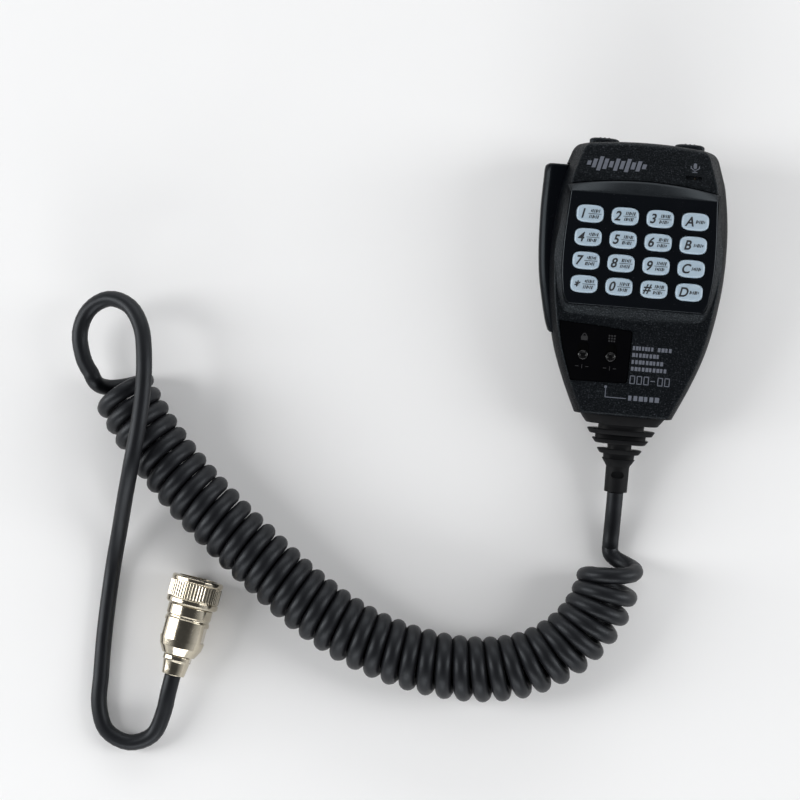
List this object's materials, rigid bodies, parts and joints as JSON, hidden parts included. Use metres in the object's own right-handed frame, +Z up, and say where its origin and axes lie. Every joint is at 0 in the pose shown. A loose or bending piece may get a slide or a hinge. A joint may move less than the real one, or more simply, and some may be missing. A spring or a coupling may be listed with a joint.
{
  "type": "hand microphone",
  "caption": "Keypad hand microphone for a mobile radio: two-part case, side talk lever, slide switches, hanger button, curly cord and screw-ring plug.",
  "frame": {"origin": "on the table, under the middle of the microphone with its strain relief and without its cord", "axes": "+Z up from the table, +Y towards the microphone's top edge, +X to the right as the keys are read; the microphone leans back 8.1 degrees on its hanger button"},
  "size_m": [0.2389, 0.238, 0.0407],
  "materials": {
    "textured_case": "fine spark-eroded texture, slight sheen",
    "gloss_panel": "smooth, semi-gloss to gloss",
    "smoked_window": "polished dark window",
    "translucent_key": "pale blue-grey translucent keytop, satin",
    "silicone": "moulded silicone sheet",
    "black_rubber": "soft moulded rubber",
    "cord_jacket": "satin polyurethane jacket",
    "black_moulding": "moulded, satin",
    "zinc_steel": "zinc plated",
    "nickel_plate": "bright nickel, slightly warm",
    "circuit_board": "green solder mask",
    "capacitor_sleeve": "shrink sleeve",
    "led_lens": "moulded lens",
    "natural_nylon": "natural nylon",
    "orange_plunger": "moulded"
  },
  "bodies": {
    "housing": {"front_case": "textured_case", "rear_case": "textured_case", "keypad_panel": "gloss_panel", "switch_window": "smoked_window", "keypad_membrane": "silicone", "strain_relief": "black_rubber", "capsule_holder": "black_rubber", "mic_tail": "cord_jacket", "curly_cord": "cord_jacket", "plug_tail": "cord_jacket", "cord_end": "cord_jacket", "up_switch": "black_moulding", "down_switch": "black_moulding", "lock_switch": "black_moulding", "tone_switch": "black_moulding", "ptt_switch": "black_moulding", "tone_chip": "black_moulding", "plug_insert": "black_moulding", "ptt_pivot_pin": "zinc_steel", "ptt_spring": "zinc_steel", "crystal": "zinc_steel", "case_screw_1": "zinc_steel", "case_screw_2": "zinc_steel", "case_screw_3": "zinc_steel", "case_screw_4": "zinc_steel", "hanger_screw": "zinc_steel", "cord_clamp": "zinc_steel", "plug_body": "nickel_plate", "plug_clamp": "nickel_plate", "hanger_button": "nickel_plate", "mic_capsule": "nickel_plate", "main_board": "circuit_board", "capacitor": "capacitor_sleeve", "backlight_left": "led_lens", "backlight_right": "led_lens", "wire_header": "natural_nylon"},
    "key_1": {"key_1": "translucent_key"},
    "key_2": {"key_2": "translucent_key"},
    "key_3": {"key_3": "translucent_key"},
    "key_a": {"key_a": "translucent_key"},
    "key_4": {"key_4": "translucent_key"},
    "key_5": {"key_5": "translucent_key"},
    "key_6": {"key_6": "translucent_key"},
    "key_b": {"key_b": "translucent_key"},
    "key_7": {"key_7": "translucent_key"},
    "key_8": {"key_8": "translucent_key"},
    "key_9": {"key_9": "translucent_key"},
    "key_c": {"key_c": "translucent_key"},
    "key_star": {"key_star": "translucent_key"},
    "key_0": {"key_0": "translucent_key"},
    "key_hash": {"key_hash": "translucent_key"},
    "key_d": {"key_d": "translucent_key"},
    "up_button": {"up_button": "textured_case"},
    "down_button": {"down_button": "textured_case"},
    "ptt_lever": {"ptt_lever": "gloss_panel"},
    "ptt_plunger": {"ptt_plunger": "orange_plunger"},
    "lock_knob": {"lock_knob": "black_moulding"},
    "tone_knob": {"tone_knob": "black_moulding"},
    "coupling_ring": {"coupling_ring": "nickel_plate"}
  },
  "joints": [
    {"name": "key_1_press", "type": "slide", "parent": "housing", "child": "key_1", "axis": [0, 0.1407, -0.9901], "range_m": [0, 0.0009], "stiffness_N_per_m": 60, "springref_m": -0.0003},
    {"name": "key_2_press", "type": "slide", "parent": "housing", "child": "key_2", "axis": [0, 0.1407, -0.9901], "range_m": [0, 0.0009], "stiffness_N_per_m": 60, "springref_m": -0.0003},
    {"name": "key_3_press", "type": "slide", "parent": "housing", "child": "key_3", "axis": [0, 0.1407, -0.9901], "range_m": [0, 0.0009], "stiffness_N_per_m": 60, "springref_m": -0.0003},
    {"name": "key_a_press", "type": "slide", "parent": "housing", "child": "key_a", "axis": [0, 0.1407, -0.9901], "range_m": [0, 0.0009], "stiffness_N_per_m": 60, "springref_m": -0.0003},
    {"name": "key_4_press", "type": "slide", "parent": "housing", "child": "key_4", "axis": [0, 0.1407, -0.9901], "range_m": [0, 0.0009], "stiffness_N_per_m": 60, "springref_m": -0.0003},
    {"name": "key_5_press", "type": "slide", "parent": "housing", "child": "key_5", "axis": [0, 0.1407, -0.9901], "range_m": [0, 0.0009], "stiffness_N_per_m": 60, "springref_m": -0.0003},
    {"name": "key_6_press", "type": "slide", "parent": "housing", "child": "key_6", "axis": [0, 0.1407, -0.9901], "range_m": [0, 0.0009], "stiffness_N_per_m": 60, "springref_m": -0.0003},
    {"name": "key_b_press", "type": "slide", "parent": "housing", "child": "key_b", "axis": [0, 0.1407, -0.9901], "range_m": [0, 0.0009], "stiffness_N_per_m": 60, "springref_m": -0.0003},
    {"name": "key_7_press", "type": "slide", "parent": "housing", "child": "key_7", "axis": [0, 0.1407, -0.9901], "range_m": [0, 0.0009], "stiffness_N_per_m": 60, "springref_m": -0.0003},
    {"name": "key_8_press", "type": "slide", "parent": "housing", "child": "key_8", "axis": [0, 0.1407, -0.9901], "range_m": [0, 0.0009], "stiffness_N_per_m": 60, "springref_m": -0.0003},
    {"name": "key_9_press", "type": "slide", "parent": "housing", "child": "key_9", "axis": [0, 0.1407, -0.9901], "range_m": [0, 0.0009], "stiffness_N_per_m": 60, "springref_m": -0.0003},
    {"name": "key_c_press", "type": "slide", "parent": "housing", "child": "key_c", "axis": [0, 0.1407, -0.9901], "range_m": [0, 0.0009], "stiffness_N_per_m": 60, "springref_m": -0.0003},
    {"name": "key_star_press", "type": "slide", "parent": "housing", "child": "key_star", "axis": [0, 0.1407, -0.9901], "range_m": [0, 0.0009], "stiffness_N_per_m": 60, "springref_m": -0.0003},
    {"name": "key_0_press", "type": "slide", "parent": "housing", "child": "key_0", "axis": [0, 0.1407, -0.9901], "range_m": [0, 0.0009], "stiffness_N_per_m": 60, "springref_m": -0.0003},
    {"name": "key_hash_press", "type": "slide", "parent": "housing", "child": "key_hash", "axis": [0, 0.1407, -0.9901], "range_m": [0, 0.0009], "stiffness_N_per_m": 60, "springref_m": -0.0003},
    {"name": "key_d_press", "type": "slide", "parent": "housing", "child": "key_d", "axis": [0, 0.1407, -0.9901], "range_m": [0, 0.0009], "stiffness_N_per_m": 60, "springref_m": -0.0003},
    {"name": "up_button_press", "type": "slide", "parent": "housing", "child": "up_button", "axis": [0, -0.9901, -0.1407], "range_m": [0, 0.0008], "stiffness_N_per_m": 60, "springref_m": -0.0003},
    {"name": "down_button_press", "type": "slide", "parent": "housing", "child": "down_button", "axis": [0, -0.9901, -0.1407], "range_m": [0, 0.0008], "stiffness_N_per_m": 60, "springref_m": -0.0003},
    {"name": "lock_knob_slide", "type": "slide", "parent": "housing", "child": "lock_knob", "axis": [0, 0.9901, 0.1407], "range_m": [0, 0.0027]},
    {"name": "tone_knob_slide", "type": "slide", "parent": "housing", "child": "tone_knob", "axis": [0, 0.9901, 0.1407], "range_m": [0, 0.0027]},
    {"name": "ptt_press", "type": "hinge", "parent": "housing", "child": "ptt_lever", "pos_m": [-0.02311, -0.00389, 0.01759], "axis": [0, 0.1407, -0.9901], "range_deg": [0, 2.4], "stiffness_Nm_per_rad": 0.6, "springref_deg": -2.29, "deforming": ["ptt_spring"]},
    {"name": "ptt_plunger_slide", "type": "slide", "parent": "housing", "child": "ptt_plunger", "axis": [1, 0, 0], "range_m": [0, 0.0015]},
    {"name": "coupling_ring_turn", "type": "hinge", "parent": "housing", "child": "coupling_ring", "pos_m": [-0.14884, -0.11019, 0.0096], "axis": [0.166, 0.9861, 0], "continuous": true}
  ],
  "couplings": [
    {"joint": "ptt_plunger_slide", "follows": "ptt_press", "m_per_rad": 0.0338}
  ]
}
